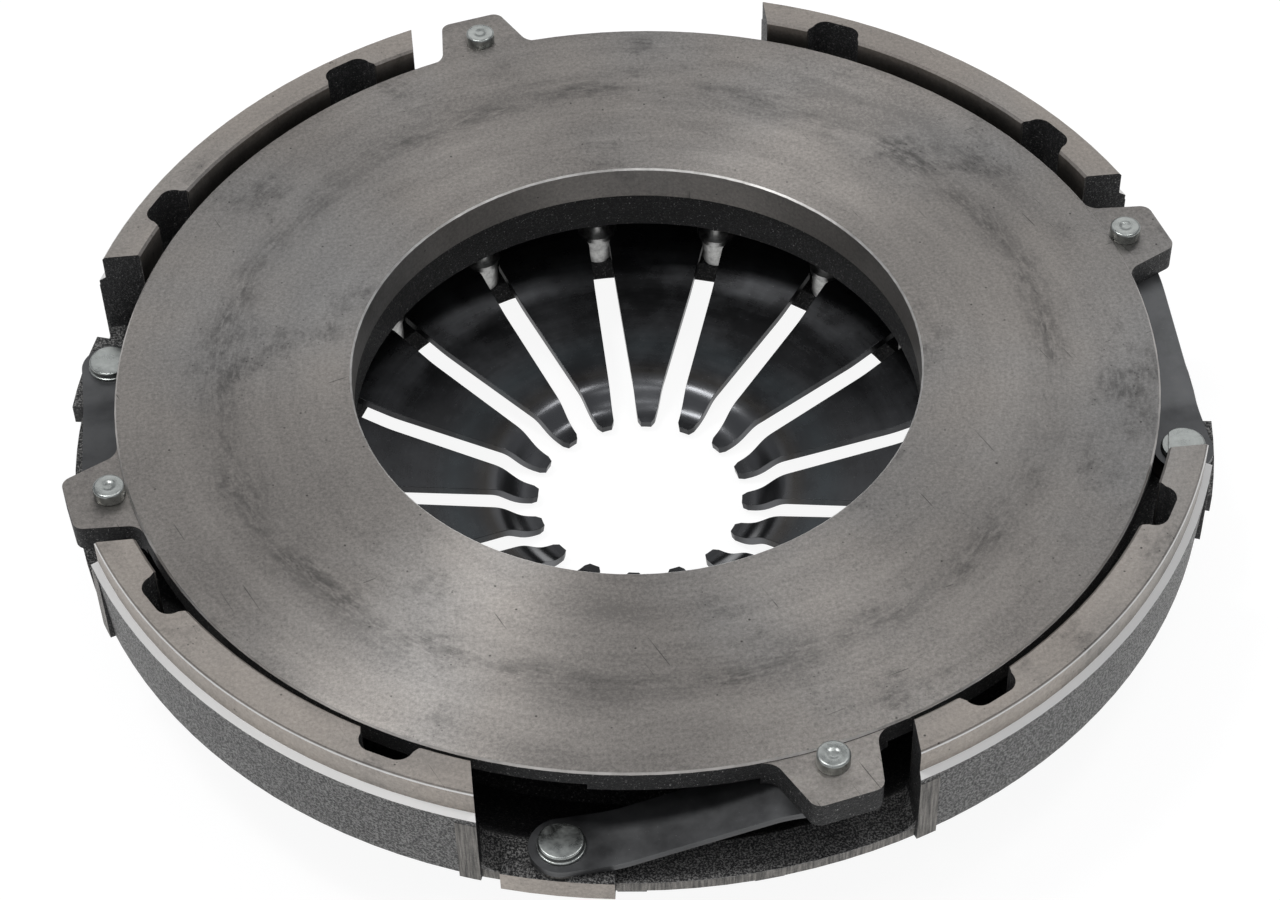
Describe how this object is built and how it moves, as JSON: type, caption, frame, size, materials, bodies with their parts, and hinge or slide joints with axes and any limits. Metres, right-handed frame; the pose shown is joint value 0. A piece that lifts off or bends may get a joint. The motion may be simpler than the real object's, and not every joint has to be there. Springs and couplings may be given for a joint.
{
  "type": "clutch pressure plate assembly",
  "caption": "Tractor clutch: cast cover with strap windows and bolt pockets, pressure plate on riveted leaf straps, and a diaphragm spring with slotted fingers between wire rings.",
  "frame": {"origin": "on the clutch axis, in the plane of the flywheel mounting face", "axes": "+Z along the clutch axis, out of the mounting face towards the flywheel; +X through the middle of a strap window"},
  "size_m": [0.393, 0.393, 0.079],
  "materials": {
    "cover_iron": "rough casting with turned rim faces",
    "plate_iron": "fine-turned friction face, rough casting elsewhere",
    "spring_steel": "hardened, blue-black oxide",
    "strap_steel": "hardened, blue-grey",
    "ring_wire": "drawn wire",
    "pivot_steel": "turned, dull",
    "rivet_zinc": "zinc plated, satin"
  },
  "bodies": {
    "cover_body": {"cover": "cover_iron", "diaphragm_spring": "spring_steel", "upper_fulcrum_ring": "ring_wire", "lower_fulcrum_ring": "ring_wire", "pivot_rivets": "pivot_steel", "strap_1_upper_leaf": "strap_steel", "strap_1_lower_leaf": "strap_steel", "strap_2_upper_leaf": "strap_steel", "strap_2_lower_leaf": "strap_steel", "strap_3_upper_leaf": "strap_steel", "strap_3_lower_leaf": "strap_steel", "strap_4_upper_leaf": "strap_steel", "strap_4_lower_leaf": "strap_steel", "cover_rivet_1": "rivet_zinc", "cover_rivet_2": "rivet_zinc", "cover_rivet_3": "rivet_zinc", "cover_rivet_4": "rivet_zinc"},
    "plate_body": {"pressure_plate": "plate_iron", "lug_rivet_1": "rivet_zinc", "lug_rivet_2": "rivet_zinc", "lug_rivet_3": "rivet_zinc", "lug_rivet_4": "rivet_zinc"}
  },
  "joints": [
    {"name": "plate_travel", "type": "slide", "parent": "cover_body", "child": "plate_body", "axis": [0, 0, 1], "range_m": [-0.0055, 0], "stiffness_N_per_m": 400000, "springref_m": 0.001, "deforming": ["diaphragm_spring", "strap_1_upper_leaf", "strap_1_lower_leaf", "strap_2_upper_leaf", "strap_2_lower_leaf", "strap_3_upper_leaf", "strap_3_lower_leaf", "strap_4_upper_leaf", "strap_4_lower_leaf"]}
  ]
}
